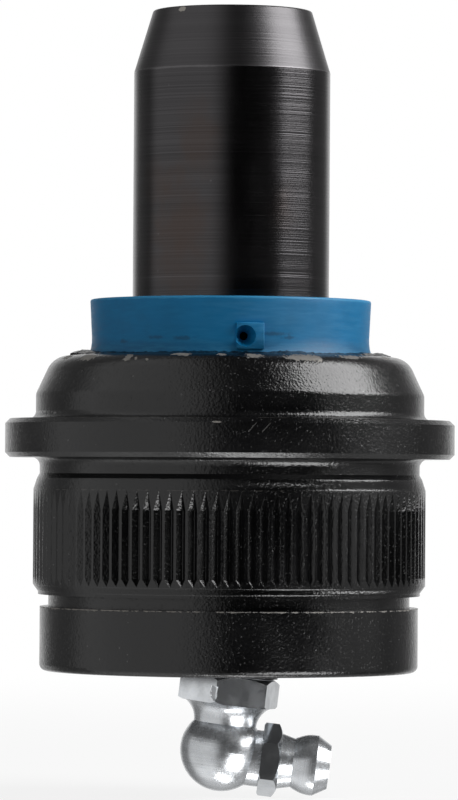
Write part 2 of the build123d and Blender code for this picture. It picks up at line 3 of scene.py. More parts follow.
import bmesh
import bpy
from bpy.props import FloatProperty, FloatVectorProperty, IntProperty, PointerProperty
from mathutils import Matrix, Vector


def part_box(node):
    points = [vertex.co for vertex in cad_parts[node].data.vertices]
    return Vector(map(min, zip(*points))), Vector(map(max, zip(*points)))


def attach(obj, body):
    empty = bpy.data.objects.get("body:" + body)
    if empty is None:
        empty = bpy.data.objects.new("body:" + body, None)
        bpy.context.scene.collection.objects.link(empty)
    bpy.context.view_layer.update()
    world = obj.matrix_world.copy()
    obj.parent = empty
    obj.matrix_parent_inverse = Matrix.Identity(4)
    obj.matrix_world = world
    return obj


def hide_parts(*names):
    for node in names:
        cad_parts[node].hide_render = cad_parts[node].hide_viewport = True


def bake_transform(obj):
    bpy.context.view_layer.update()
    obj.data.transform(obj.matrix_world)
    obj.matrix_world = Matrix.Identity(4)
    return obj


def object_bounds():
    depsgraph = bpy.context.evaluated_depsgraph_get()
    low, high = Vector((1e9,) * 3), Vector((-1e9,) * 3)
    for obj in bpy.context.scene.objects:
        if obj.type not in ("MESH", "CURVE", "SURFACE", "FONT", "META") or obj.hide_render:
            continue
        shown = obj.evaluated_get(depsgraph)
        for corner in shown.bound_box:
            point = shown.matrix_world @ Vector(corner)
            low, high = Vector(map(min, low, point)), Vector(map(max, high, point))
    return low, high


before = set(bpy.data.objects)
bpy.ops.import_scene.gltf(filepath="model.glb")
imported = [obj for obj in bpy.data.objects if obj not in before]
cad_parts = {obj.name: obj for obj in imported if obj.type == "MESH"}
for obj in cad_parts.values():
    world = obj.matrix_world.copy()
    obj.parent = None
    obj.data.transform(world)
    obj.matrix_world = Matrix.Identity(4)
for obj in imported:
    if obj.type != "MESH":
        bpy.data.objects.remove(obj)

bl_info = {
    "name": "Suspension ball joint",
    "version": (1, 0, 0),
    "blender": (4, 5, 0),
    "location": "3D View > Sidebar > Ball joint",
    "description": "Dust seal, crimped edge, finishes and studio for a press-in ball joint",
    "category": "Object",
}

MM = 0.001
WELD = 0.001 * MM  # closer than this, two points are one
NEAR = 0.01 * MM  # a point this close to a place is the one looked for there
SHARP = radians(35)  # edges steeper than this stay sharp in the shading

# The frame's boxes carry the levels and radii that the pieces here are fitted to
CAD_BOX = [list(corner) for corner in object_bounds()]
SEAL_LOW, SEAL_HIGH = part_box("dust_seal")
BEAD_RING_LOW, BEAD_RING_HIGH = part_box("bead_ring")
LIP_RING_LOW, LIP_RING_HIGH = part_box("lip_ring")
HOUSING_LOW, HOUSING_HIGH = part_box("housing")
STUD_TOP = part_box("ball_stud")[1].z
DOME_TOP = HOUSING_HIGH.z
BASE = HOUSING_LOW.z
FLANGE_RADIUS = HOUSING_HIGH.x
RING_GAP = 0.02 * MM  # room round each of the seal's two wire rings

# Levels and radii of the turned housing and of the stud
BAND_TOP = BASE + 6.8 * MM
KNURL_LOW = BASE + 8.1 * MM
KNURL_HIGH = BASE + 20.4 * MM
FLANGE_HIGH = BASE + 26.7 * MM
CREST_RADIUS = FLANGE_RADIUS - 3.05 * MM
BAND_RADIUS = CREST_RADIUS - 0.75 * MM
DOME_FLAT = FLANGE_RADIUS - 6.66 * MM  # radius at which the dome's flat top begins to round off
DOME_ROUND = 2.4 * MM  # radius of that rounding
SHANK_RADIUS = 10.45 * MM
CONE_LOW = STUD_TOP - 6.6 * MM  # where the shank ends and the lead-in begins

# The coat lies thick in the corners beside the knurl, which eases the shading of its collar
# above and of the bevel below: where it does so, and how high it rises
COLLAR_LOW = KNURL_HIGH - 1.15 * MM
COLLAR_EASE = 0.37 * MM
BEVEL_LOW = KNURL_LOW + 0.3 * MM
BEVEL_HIGH = KNURL_LOW + 1.05 * MM
BEVEL_EASE = 0.66 * MM

# The leaning elbow fitting: its axis runs up through the cover, the nipple's axis out of the elbow
LEAN = radians(6.8)
ELBOW_ORIGIN = Vector((0.3 * MM, 0, BASE - 0.3 * MM))
NIPPLE_ORIGIN = Vector((3.458 * MM, 0, BASE - 9.287 * MM))


def number(name, description, default, **limits):
    return FloatProperty(name=name, description=description, default=default, **limits)


def length(name, description, millimetres):
    return number(name, description, millimetres * MM, min=0, unit="LENGTH", precision=5)


def angle(name, description, turn):
    return number(name, description, radians(turn), subtype="ANGLE")


def share(name, description, default):
    return number(name, description, default, min=0, max=1, subtype="FACTOR")


def brightness(name, description, default):
    return number(name, description, default, min=0)


def colour(name, description, default):
    return FloatVectorProperty(
        name=name, description=description, default=default, min=0, max=1, subtype="COLOR", size=3
    )


class SealSizes(bpy.types.PropertyGroup):
    """Sizes of the dust seal."""

    bead_reach: length("Bead reach", "How far the foot's bead stands out under the crimp", 0.7)
    bead_height: length("Bead height", "Height of the bead in its groove", 1.1)
    wall: length("Wall", "Thickness of the seal's standing wall", 1.6)
    roof: length("Roof", "Thickness of the seal's top", 0.8)
    bore: length("Bore", "Radius of the lip that wipes the stud", 10.3)
    sleeve_wall: length("Sleeve wall", "Thickness of the lip's sleeve", 0.75)
    sleeve_drop: length("Sleeve length", "How far the sleeve hangs below the top", 1.864)
    foot_lift: length("Foot lift", "Gap between the dome and the flared foot", 0.02)
    foot_flare: length("Foot flare", "How far the foot flares out", 0.2)
    waist_inset: length("Waist inset", "How far the waist is drawn in", 0.2)
    waist_height: length("Waist height", "Height of the waist above the foot", 1.9)
    rim_round: length("Rim round", "Rounding of the top rim", 0.22)
    roof_chamfer: length("Roof chamfer", "Chamfer inside, between wall and roof", 0.8)
    pad_angle: angle("Pad angle", "Where the vent pad is, from the front", 7.8)
    pad_width: length("Pad width", "Width of the square vent pad", 2.9)
    pad_height: length("Pad height", "Height of the square vent pad", 2.75)
    pad_proud: length("Pad proud", "How far the vent pad stands out", 0.3)
    vent_height: length("Vent height", "Height of the vent above the dome", 1.85)
    vent_angle: angle("Vent angle", "Where the vent hole is, from the front", 5.8)
    vent_mouth: length("Vent mouth", "Radius of the vent's conical mouth", 1.1)
    vent_throat: length("Vent throat", "Radius of the vent's throat", 0.35)
    steps: IntProperty(name="Steps", description="Faces round the seal", default=360, min=24)


class CrimpSizes(bpy.types.PropertyGroup):
    """Sizes of the rolled edge that closes the dome round the seal."""

    gap: length("Gap", "Room between the seal's foot and the rolled edge", 0.16)
    width: length("Width", "How far the rolled edge spreads over the dome", 1.75)
    height: length("Height", "Height of the rolled edge above the dome", 0.2)
    roughness: length("Roughness", "How uneven the hammered edge is", 0.2)
    grain: length("Grain", "Size of the lumps on the edge", 0.5)
    steps: IntProperty(name="Steps", description="Faces round the edge", default=480, min=24)


class Finishes(bpy.types.PropertyGroup):
    """Colours of the coats, the metals and the seal."""

    black: colour("Black coat", "Colour of the housing's black coat", (0.0026, 0.0026, 0.0029))
    bare: colour("Bare steel", "Steel that shows where the coat is chipped", (0.25, 0.235, 0.215))
    dust: colour("Dust", "Colour of specks of dust and lint", (0.3, 0.3, 0.3))
    blued: colour("Blued steel", "Colour of the stud", (0.057, 0.055, 0.057))
    straw: colour("Heat tint", "Brown tint on the stud", (0.068, 0.042, 0.03))
    blue: colour("Seal blue", "Colour of the dust seal", (0.0, 0.19, 0.43))
    # Lighter blue for the seal's streaks, worn foot and top rim, also used for the painted
    # highlights on the vent pad's edges
    blue_worn_and_highlit: colour("Worn blue", "Colour of rubbed edges of the seal", (0.05, 0.33, 0.6))
    smudge: colour("Smudges", "Colour of greasy smudges on the seal", (0.008, 0.03, 0.06))
    grime: colour("Grime", "Colour of dark specks on the seal", (0.008, 0.02, 0.04))
    # Painted shade: the dark that stands deep in the seal's vent hole
    vent: colour("Vent", "Colour deep in the seal's vent", (0.004, 0.006, 0.01))
    zinc: colour("Zinc", "Colour of the plated fitting", (0.8, 0.825, 0.85))
    ground: colour("Ground steel", "Colour of the bearings and the check ball", (0.56, 0.56, 0.57))
    spring: colour("Spring steel", "Colour of the springs, rings and washer", (0.16, 0.16, 0.165))
    peel: share("Orange peel", "Strength of the black coat's orange peel", 0.5)


class Studio(bpy.types.PropertyGroup):
    """The camera, the lamps, the room and the floor."""

    camera_distance: length("Camera distance", "From the ball's centre", 540)
    camera_height: length("Camera height", "Above the ball's centre", 3.2)
    camera_pitch: angle("Camera pitch", "How far the camera looks up", 0.914)
    camera_heading: angle("Camera heading", "How far the camera looks left", 0.0068)
    camera_roll: angle("Camera roll", "How far the camera leans left", 0.38)
    lens: number("Lens", "Focal length", 228.4, min=1, unit="CAMERA")
    lamp_distance: length("Lamp distance", "From the object to each card", 700)
    left_level: brightness("Left level", "Brightness of the left panel", 0.3)
    right_level: brightness("Right level", "Brightness of the right panel", 4.9)
    card_level: brightness("Card level", "Brightness of the cards seen in gloss", 7.8)
    left_wall: brightness("Left wall", "Brightness of the room's left side in gloss", 0.8)
    right_wall: brightness("Right wall", "Brightness of the room's right side in gloss", 0.42)
    far_wall: brightness("Far wall", "Brightness of the room's far half in gloss", 0.2)
    opening: brightness("Opening", "Brightness added straight behind, in gloss", 0.8)
    under: brightness("Under", "Brightness from below in gloss", 0.45)
    room_level: brightness("Room level", "Even light from all round", 0.24)
    floor_colour: colour("Floor", "Colour of the floor", (0.86, 0.86, 0.86))
    floor_lift: share("Floor lift", "How far the camera sees the floor as white", 0.85)


def deselect():
    """Leaves edit mode, with nothing selected."""
    if bpy.context.mode != "OBJECT":
        bpy.ops.object.mode_set(mode="OBJECT")
    bpy.ops.object.select_all(action="DESELECT")


def select(piece):
    """Leaves edit mode, with one piece selected and active."""
    deselect()
    piece.select_set(True)
    bpy.context.view_layer.objects.active = piece


def settle(piece):
    """Puts a piece's place into its mesh, so that its object is at the origin."""
    select(piece)
    bpy.ops.object.transform_apply(location=True, rotation=True, scale=True)


def edit(piece):
    """Opens one piece in edit mode."""
    select(piece)
    bpy.ops.object.mode_set(mode="EDIT")


def pick(piece, wanted):
    """Selects the points for which wanted(place) is true, and all that lies between them."""
    bpy.ops.mesh.select_mode(type="VERT")
    bpy.ops.mesh.select_all(action="DESELECT")
    mesh = bmesh.from_edit_mesh(piece.data)
    chosen = 0
    for vertex in mesh.verts:
        if wanted(vertex.co):
            vertex.select = True
            chosen += 1
    mesh.select_flush(True)
    bmesh.update_edit_mesh(piece.data)
    if not chosen:
        raise RuntimeError(f"{piece.name}: no point is where one was looked for")


def on_ring(radius, height):
    """A test for points on a circle round the stud's axis."""
    return lambda p: abs(Vector((p.x, p.y)).length - radius) < NEAR and abs(p.z - height) < NEAR


def draw_section(name, corners):
    """Draws a closed section through the axis, one corner after another."""
    deselect()
    radius, height = corners[0]
    bpy.ops.mesh.primitive_plane_add(size=MM, location=(radius, 0, height))
    piece = bpy.context.object
    piece.name = piece.data.name = name
    bpy.ops.object.mode_set(mode="EDIT")
    bpy.ops.mesh.merge(type="CENTER")
    for (r0, z0), (r1, z1) in zip(corners, corners[1:]):
        bpy.ops.mesh.extrude_region_move(TRANSFORM_OT_translate={"value": (r1 - r0, 0, z1 - z0)})
    bpy.ops.mesh.select_all(action="SELECT")
    bpy.ops.mesh.edge_face_add()
    bpy.ops.mesh.delete(type="ONLY_FACE")
    settle(piece)
    return piece


def divide_run(piece, start, end, cuts):
    """Divides one straight run of a section."""
    ends = [Vector((r, 0, z)) for r, z in (start, end)]
    pick(piece, lambda p: any((p - e).length < NEAR for e in ends))
    bpy.ops.mesh.subdivide(number_cuts=cuts)


def weld():
    """Merges the points that meet in the mesh in hand, and turns its faces outwards."""
    bpy.ops.mesh.select_all(action="SELECT")
    bpy.ops.mesh.remove_doubles(threshold=WELD)
    bpy.ops.mesh.normals_make_consistent(inside=False)


def spin_section(steps):
    """Spins the section in hand round the stud's axis into one closed skin."""
    bpy.ops.mesh.select_all(action="SELECT")
    bpy.ops.mesh.spin(steps=steps, angle=2 * pi, center=(0, 0, 0), axis=(0, 0, 1))
    weld()


def modify(piece, kind, **settings):
    """Adds a modifier to a piece and applies it."""
    select(piece)
    modifier = piece.modifiers.new(kind.capitalize(), kind)
    for name, value in settings.items():
        setattr(modifier, name, value)
    bpy.ops.object.modifier_apply(modifier=modifier.name)


def cut_with(piece, tool, operation):
    """Joins a tool to a piece, or cuts it away, and removes the tool."""
    modify(piece, "BOOLEAN", operation=operation, solver="EXACT", object=tool)
    bpy.data.objects.remove(tool)


def finish_mesh(piece):
    """Welds a piece and shades it smooth between sharp edges."""
    edit(piece)
    weld()
    select(piece)
    bpy.ops.object.shade_smooth_by_angle(angle=SHARP)


def dress(piece, material):
    """Gives a piece one material."""
    piece.data.materials.clear()
    piece.data.materials.append(material)


def dress_nodes(material, *names):
    """Gives carried-over CAD nodes one material in place of their own."""
    for name in names:
        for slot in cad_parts[name].material_slots:
            slot.material = material


def linked(value):
    """Whether a value comes from another node."""
    return isinstance(value, bpy.types.NodeSocket)


def add(kind, sockets, **settings):
    """Adds a node to its sockets' tree, fed by values and by at least one other node's output."""
    tree = next(value.id_data for value in sockets.values() if linked(value))
    node = tree.nodes.new(kind)
    for name, value in settings.items():
        setattr(node, name, value)
    for name, value in sockets.items():
        if linked(value):
            tree.links.new(value, node.inputs[name])
        else:
            node.inputs[name].default_value = value
    return node


def calc(operation, *values, clamp=False):
    """One step of arithmetic."""
    sockets = dict(enumerate(values))
    return add("ShaderNodeMath", sockets, operation=operation, use_clamp=clamp).outputs[0]


def times(first, second):
    """One number times another."""
    return calc("MULTIPLY", first, second)


def rest(value):
    """What a share leaves of 1."""
    return calc("SUBTRACT", 1.0, value)


def most(masks):
    """The strongest of several masks."""
    total = masks[0]
    for mask in masks[1:]:
        total = calc("MAXIMUM", total, mask)
    return total


def vector_calc(operation, *values, output=0):
    """One step of vector arithmetic."""
    sockets = dict(enumerate(values))
    return add("ShaderNodeVectorMath", sockets, operation=operation).outputs[output]


def magnitude(value):
    """How long a vector is."""
    return vector_calc("LENGTH", value, output="Value")


def axes(value):
    """The X, Y and Z of a vector."""
    return add("ShaderNodeSeparateXYZ", {0: value}).outputs


def stretched(place, factor):
    """Coordinates scaled along Z: a factor below 1 draws a pattern out upwards."""
    sockets = {"Vector": place, "Scale": (1.0, 1.0, factor)}
    return add("ShaderNodeMapping", sockets).outputs[0]


def ramp(value, low, high, start=0.0, end=1.0):
    """Follows value from low to high in a smooth step from start to end."""
    sockets = {"Value": value, "From Min": low, "From Max": high, "To Min": start, "To Max": end}
    node = add("ShaderNodeMapRange", sockets, interpolation_type="SMOOTHSTEP")
    return node.outputs[0]


def fall(value, low, high):
    """Is 1 up to low and falls to 0 at high, in a smooth step."""
    return ramp(value, low, high, 1.0, 0.0)


def mix(factor, first, second):
    """Mixes two colours."""
    first, second = (tone if linked(tone) else (*tone[:3], 1) for tone in (first, second))
    return add("ShaderNodeMix", {0: factor, 6: first, 7: second}, data_type="RGBA").outputs[2]


def mix_value(factor, first, second):
    """Mixes two numbers."""
    return add("ShaderNodeMix", {0: factor, 2: first, 3: second}).outputs[0]


def layers(base, *coats):
    """Lays colours over the base in turn; each coat is a mask, its strength and its colour."""
    for mask, strength, coat in coats:
        base = mix(times(mask, strength), base, coat)
    return base


def shade(tone, *factors):
    """A colour with its red, green and blue multiplied, by one factor or by one each."""
    return [part * factor for part, factor in zip(tone, factors * 3)]


def noise(place, scale, detail=2, roughness=0.5):
    """Cloudy noise from 0 to 1; scale is in lumps to a metre."""
    sockets = {"Vector": place, "Scale": scale, "Detail": detail, "Roughness": roughness}
    return add("ShaderNodeTexNoise", sockets).outputs["Fac"]


def bump(height, distance, strength=1.0, normal=None):
    """Raises the surface by a height of 0 to 1 times a distance, over an earlier bump if given."""
    sockets = {"Height": height, "Distance": distance, "Strength": strength}
    if normal:
        sockets["Normal"] = normal
    return add("ShaderNodeBump", sockets).outputs[0]


def make_group(name, output, inputs, build):
    """A new node group whose inputs build joins to its output."""
    group = bpy.data.node_groups.new(name, "ShaderNodeTree")
    for key, start in inputs.items():
        kind = "NodeSocketVector" if start is None else "NodeSocketFloat"
        socket = group.interface.new_socket(key.capitalize(), in_out="INPUT", socket_type=kind)
        if start is not None:
            socket.default_value = start
    group.interface.new_socket(output, in_out="OUTPUT", socket_type="NodeSocketFloat")
    ends = group.nodes.new("NodeGroupInput").outputs
    add("NodeGroupOutput", {output: build(*(ends[key.capitalize()] for key in inputs))})
    return group


def grouped(output, **inputs):
    """Turns a function that joins nodes into one that places them as a group, built only once.

    The first input is a vector, as is one that starts as None, and the others are numbers.
    """
    inputs = {"vector": None, **inputs}

    def wrap(build):
        name = build.__name__.replace("_", " ").capitalize()

        def place_group(vector, **values):
            group = bpy.data.node_groups.get(name) or make_group(name, output, inputs, build)
            values = {"vector": vector, **values}
            sockets = {key.capitalize(): value for key, value in values.items()}
            return add("ShaderNodeGroup", sockets, node_tree=group).outputs[0]

        return place_group

    return wrap


@grouped("Height", scale=2000)
def orange_peel(vector, scale):
    """Height of a sprayed coat's orange peel."""
    fine = noise(vector, scale, detail=1)
    broad = noise(vector, times(scale, 0.35), detail=1)
    return calc("ADD", times(broad, 0.45), fine)


@grouped("Lines", spacing=0.2 * MM)
def turning_lines(vector, spacing):
    """Fine rings that a lathe tool leaves round the local Z axis."""
    steps = calc("DIVIDE", axes(vector)[2], spacing)
    fine, broad = (
        add("ShaderNodeTexNoise", {"W": steps, **waves}, noise_dimensions="1D").outputs["Fac"]
        for waves in ({"Scale": 1.0, "Detail": 2.0}, {"Scale": 0.12, "Detail": 1.0})
    )
    lines = calc("ADD", times(fine, 0.65), times(broad, 0.35))
    return ramp(lines, 0.3, 0.7)


@grouped("Mask", scale=700, share=0.2, size=0.1)
def specks(vector, scale, share, size):
    """Small scattered dots: dust, lint and pinholes."""
    cells = add("ShaderNodeTexVoronoi", {"Vector": vector, "Scale": scale}).outputs
    chance = add("ShaderNodeSeparateColor", {0: cells["Color"]}).outputs
    kept = calc("LESS_THAN", chance[0], share)
    width = times(size, calc("ADD", chance[1], 0.4))
    dot = fall(calc("DIVIDE", cells["Distance"], width), 0.7, 1.0)
    return times(kept, dot)


@grouped("Mask", centre=None, size=None, ragged=0.5, grain=3000, softness=0.15)
def patch(vector, centre, size, ragged, grain, softness):
    """An oval patch round a place, ragged or soft at its edge; size is its reach each way."""
    away = vector_calc("DIVIDE", vector_calc("SUBTRACT", vector, centre), size)
    rough = calc("SUBTRACT", noise(vector, grain, 3.0, 0.6), 0.5)
    reach = calc("MULTIPLY_ADD", times(rough, 3.0), ragged, magnitude(away))
    return fall(reach, rest(softness), 1.0)


@grouped("Mask", radius=0.02, level=0.0, reach=0.3 * MM, amount=0.5, grain=900)
def ring_wear_and_highlight(vector, radius, level, reach, amount, grain):
    """A mask along a turned edge, broken up round the ring: for wear, and for painted edge
    highlights.
    """
    x, y, z = axes(vector)
    flat = add("ShaderNodeCombineXYZ", {0: x, 1: y}).outputs[0]
    out = calc("SUBTRACT", magnitude(flat), radius)
    up = calc("SUBTRACT", z, level)
    away = add("ShaderNodeCombineXYZ", {0: out, 1: up}).outputs[0]
    near = calc("DIVIDE", magnitude(away), reach)
    near = calc("ADD", near, times(noise(vector, grain, 4.0, 0.65), 2.6))
    limit = calc("MULTIPLY_ADD", amount, 2.0, 0.6)
    return fall(calc("SUBTRACT", near, limit), 0.0, 0.25)


@grouped("Mask", start=None, end=None, width=0.05 * MM)
def scratch(vector, start, end, width):
    """A fine scratch between two places, thinner towards its end."""
    along = vector_calc("SUBTRACT", end, start)
    away = vector_calc("SUBTRACT", vector, start)
    run = vector_calc("DOT_PRODUCT", away, along, output="Value")
    whole = vector_calc("DOT_PRODUCT", along, along, output="Value")
    part = calc("DIVIDE", run, whole, clamp=True)
    sockets = {0: along, "Scale": part}
    foot = add("ShaderNodeVectorMath", sockets, operation="SCALE").outputs[0]
    aside = magnitude(vector_calc("SUBTRACT", away, foot))
    taper = rest(times(part, 0.55))
    return fall(calc("DIVIDE", aside, times(width, taper)), 0.6, 1.1)


def new_material(name):
    """A material without a shader yet, and its object coordinates."""
    material = bpy.data.materials.new(name)
    material.use_nodes = True
    nodes = material.node_tree.nodes
    nodes.clear()
    return material, nodes.new("ShaderNodeTexCoord").outputs["Object"]


def shaded(material, **values):
    """Gives a material its Principled shader; an underscore is a space in a socket's name."""
    sockets = {name.replace("_", " "): value for name, value in values.items()}
    shader = add("ShaderNodeBsdfPrincipled", sockets).outputs[0]
    add("ShaderNodeOutputMaterial", {"Surface": shader})
    return material


def mm(*sizes):
    """Sizes or a place in millimetres, as a vector in metres."""
    return Vector(sizes) * MM


def at(turn, radius, height):
    """A place on a turned surface; turn is from the front towards the right, in degrees."""
    return (radius * sin(radians(turn)), -radius * cos(radians(turn)), height)


# Chips in the coat where the dome was rolled in: turn in degrees, width, height and drop in mm
DOME_CHIPS = (
    (-69, 1.9, 0.7, 0.25), (-53, 2.4, 0.9, 0.35), (-34.5, 0.95, 1.1, 0.45), (-31.2, 0.3, 0.3, 0.6),
    (-27, 0.28, 0.26, 0.72), (-16.2, 1.9, 0.35, 0.18), (-2.9, 0.85, 0.3, 0.17),
    (7.5, 1.6, 0.6, 0.3), (23.5, 3.4, 0.85, 0.42), (28.5, 1.2, 1.0, 0.5), (42.5, 3.0, 0.42, 0.27),
    (63, 1.2, 0.4, 0.25), (96, 2.1, 0.7, 0.4), (133, 1.2, 0.8, 0.5), (171, 2.4, 0.6, 0.4),
    (214, 1.1, 0.5, 0.4), (249, 2.2, 0.7, 0.4),
)
CHIP_REACH = Vector((0.54, 0.6, 0.45))  # share of a chip's size that its patch reaches each way
CHIP_DEPTH = 1.0  # least depth of a chip's patch, in mm


def black_coat(finish):
    """Glossy black coat over turned steel: orange peel, dust, lighter rings of wear and painted
    edge highlights, chips and scratches.
    """
    material, place = new_material("Black coat")
    peel = orange_peel(place, scale=4000)
    grit = specks(place, scale=3300, share=0.55, size=0.24)
    cloud = noise(place, scale=160, detail=3)
    dust = specks(place, scale=900, share=0.1, size=0.07)
    lint = specks(place, scale=2400, share=0.05, size=0.2)
    patches = []
    for turn, width, height, drop in DOME_CHIPS:
        rise = DOME_ROUND - drop * MM
        out = DOME_FLAT + (DOME_ROUND**2 - rise**2) ** 0.5
        size = mm(width, max(width, CHIP_DEPTH), height) * CHIP_REACH
        centre = at(turn, out, DOME_TOP - drop * MM)
        patches.append(patch(place, centre=centre, size=size, ragged=1, grain=2600))
    # A nick in the flange's edge, chips along the band's top, and lighter rings at the flange's top
    # edge, the band's foot and the knurl's top that are both wear and painted edge highlights
    nick = at(-3.2, FLANGE_RADIUS - 0.1 * MM, FLANGE_HIGH - 0.5 * MM)
    patches.append(patch(place, centre=nick, size=mm(0.5, 0.5, 0.1), ragged=0.2))
    bare_ring, *worn_and_highlit_rings = (
        ring_wear_and_highlight(
            place, radius=radius, level=level, reach=reach * MM, amount=amount, grain=grain,
        )
        for radius, level, reach, amount, grain in (
            (BAND_RADIUS, BAND_TOP - 0.05 * MM, 0.22, 0.36, 1500),
            (FLANGE_RADIUS - 0.5 * MM, FLANGE_HIGH, 0.12, 0.34, 500),
            (BAND_RADIUS - 0.3 * MM, BASE + 0.3 * MM, 0.3, 0.35, 700),
            (CREST_RADIUS, KNURL_HIGH - 1.2 * MM, 0.2, 0.28, 1600),
        )
    )
    scratches = [
        scratch(
            place, width=0.055 * MM,
            start=at(low_turn, FLANGE_RADIUS, FLANGE_HIGH - 1.45 * MM),
            end=at(high_turn, FLANGE_RADIUS, FLANGE_HIGH - 0.55 * MM),
        )
        for low_turn, high_turn in ((4.6, 6.5), (8.0, 10.0))
    ]
    chips = most([*patches, bare_ring])
    scored = most(scratches)
    base = mix(ramp(cloud, 0.35, 0.75), finish.black, shade(finish.black, 1.7))
    # The lighter rings are worn edges and painted edge highlights
    base = layers(
        base, (dust, 0.3, finish.dust), (lint, 0.25, finish.dust),
        (most(worn_and_highlit_rings), 0.45, shade(finish.bare, 0.5)), (scored, 0.14, finish.bare),
    )
    steel = mix(noise(place, scale=2500), finish.bare, shade(finish.bare, 0.6))
    base = mix(chips, base, steel)
    rough = mix_value(ramp(cloud, 0.3, 0.8), 0.19, 0.27)
    rough = mix_value(most([chips, scored, dust]), rough, 0.55)
    height = axes(place)[2]
    bevel = fall(height, BEVEL_LOW, BEVEL_HIGH)
    collar = ramp(height, COLLAR_LOW, KNURL_HIGH)
    normal = bump(collar, COLLAR_EASE, normal=bump(bevel, BEVEL_EASE))
    normal = bump(peel, 0.075 * MM, finish.peel, normal)
    normal = bump(grit, 0.032 * MM, finish.peel, normal)
    normal = bump(rest(most([chips, scored])), 0.03 * MM, normal=normal)
    metal = times(chips, 0.35)
    return shaded(
        material, Base_Color=base, Metallic=metal, Roughness=rough, IOR=1.5, Normal=normal,
    )


def cover_coat(finish):
    """The cover plate's thinner, duller black coat, over pressed steel."""
    material, place = new_material("Cover coat")
    lines = turning_lines(place, spacing=0.3 * MM)
    peel = orange_peel(place, scale=1500)
    cloud = noise(place, scale=220, detail=4)
    dust = specks(place, scale=800, share=0.3, size=0.1)
    base = mix(ramp(cloud, 0.35, 0.7), finish.black, shade(finish.black, 2.4))
    base = layers(base, (dust, 0.5, finish.dust))
    rough = mix_value(ramp(cloud, 0.3, 0.8), 0.34, 0.5)
    normal = bump(lines, 0.004 * MM, 0.5, bump(peel, 0.006 * MM, 0.5))
    return shaded(material, Base_Color=base, Roughness=rough, IOR=1.7, Normal=normal)


# Heat tints on the stud: turn in degrees, height above the seal, width and height in mm, strength
STUD_TINTS = (
    (-32, 6.5, 5.0, 8.0, 0.4), (-20, 17.0, 3.5, 6.5, 0.3), (-47, 12.0, 3.5, 4.0, 0.25),
    (30, 10.0, 2.5, 3.5, 0.175), (150, 9.0, 5.0, 7.0, 0.3), (205, 16.0, 4.0, 6.0, 0.25),
)
# Rings rubbed bright on the stud: depth below its top and width in mm, strength
STUD_RINGS = (
    (31.0, 0.09, 0.5), (28.6, 0.07, 0.35), (20.1, 0.06, 0.25), (15.6, 0.1, 0.3), (12.9, 0.08, 0.3),
)


def blued_steel(finish):
    """The stud: turned, ground and blued, with heat tints and handling marks."""
    material, place = new_material("Blued steel")
    lines = turning_lines(place, spacing=0.17 * MM)
    coarse = turning_lines(place, spacing=0.6 * MM)
    height = axes(place)[2]
    cone = ramp(height, CONE_LOW - 0.04 * MM, CONE_LOW + 0.04 * MM)
    cloud = noise(stretched(place, 0.35), scale=190, detail=4, roughness=0.6)
    base = mix(lines, shade(finish.blued, 0.82), shade(finish.blued, 1.2))
    base = layers(base, (cone, 0.5, shade(finish.blued, 1.3)))
    for turn, up, width, tall, amount in STUD_TINTS:
        tint = patch(
            place, centre=at(turn, SHANK_RADIUS, SEAL_HIGH.z + up * MM),
            size=mm(width, width, tall), ragged=0.5, grain=260, softness=0.9,
        )
        base = layers(base, (tint, amount, finish.straw))
    marked = []
    for down, wide, amount in STUD_RINGS:
        away = calc("ABSOLUTE", calc("SUBTRACT", height, STUD_TOP - down * MM))
        marked.append(times(fall(away, 0.0, wide * MM), amount))
    edge = ring_wear_and_highlight(
        place, radius=SHANK_RADIUS, level=CONE_LOW, reach=0.09 * MM, amount=0.9, grain=500,
    )
    rub = most([*marked, times(edge, 0.6)])
    pits = specks(place, scale=900, share=0.12, size=0.09)
    centre = at(-38, SHANK_RADIUS - 1.9 * MM, STUD_TOP - 0.35 * MM)
    nick = patch(place, centre=centre, size=mm(0.5, 0.5, 0.3))
    bright, grey = shade(finish.blued, 3.0), shade(finish.blued, 2.2)
    base = layers(base, (rub, 0.6, bright), (pits, 0.5, grey))
    base = mix(nick, base, finish.bare)
    rough = mix_value(ramp(cloud, 0.3, 0.75), 0.2, 0.26)
    rough = mix_value(cone, rough, 0.34)
    normal = bump(calc("MULTIPLY_ADD", coarse, 0.5, lines), 0.007 * MM)
    normal = bump(rest(nick), 0.04 * MM, normal=normal)
    return shaded(material, Base_Color=base, Metallic=1.0, Roughness=rough, Normal=normal)


# Smudges on the seal: turn in degrees, height above the dome, half width and half height in mm
SEAL_SMUDGES = (
    (18, 2.1, 2.0, 0.3), (24, 1.7, 1.2, 0.25), (-20, 1.6, 1.5, 0.3), (-32, 1.7, 1.6, 0.25),
    (-50, 1.3, 1.0, 0.3), (3.2, 2.9, 0.5, 0.3),
)
PAD_HALF_TURN = 5.4  # from the middle of the vent pad to its side, in degrees


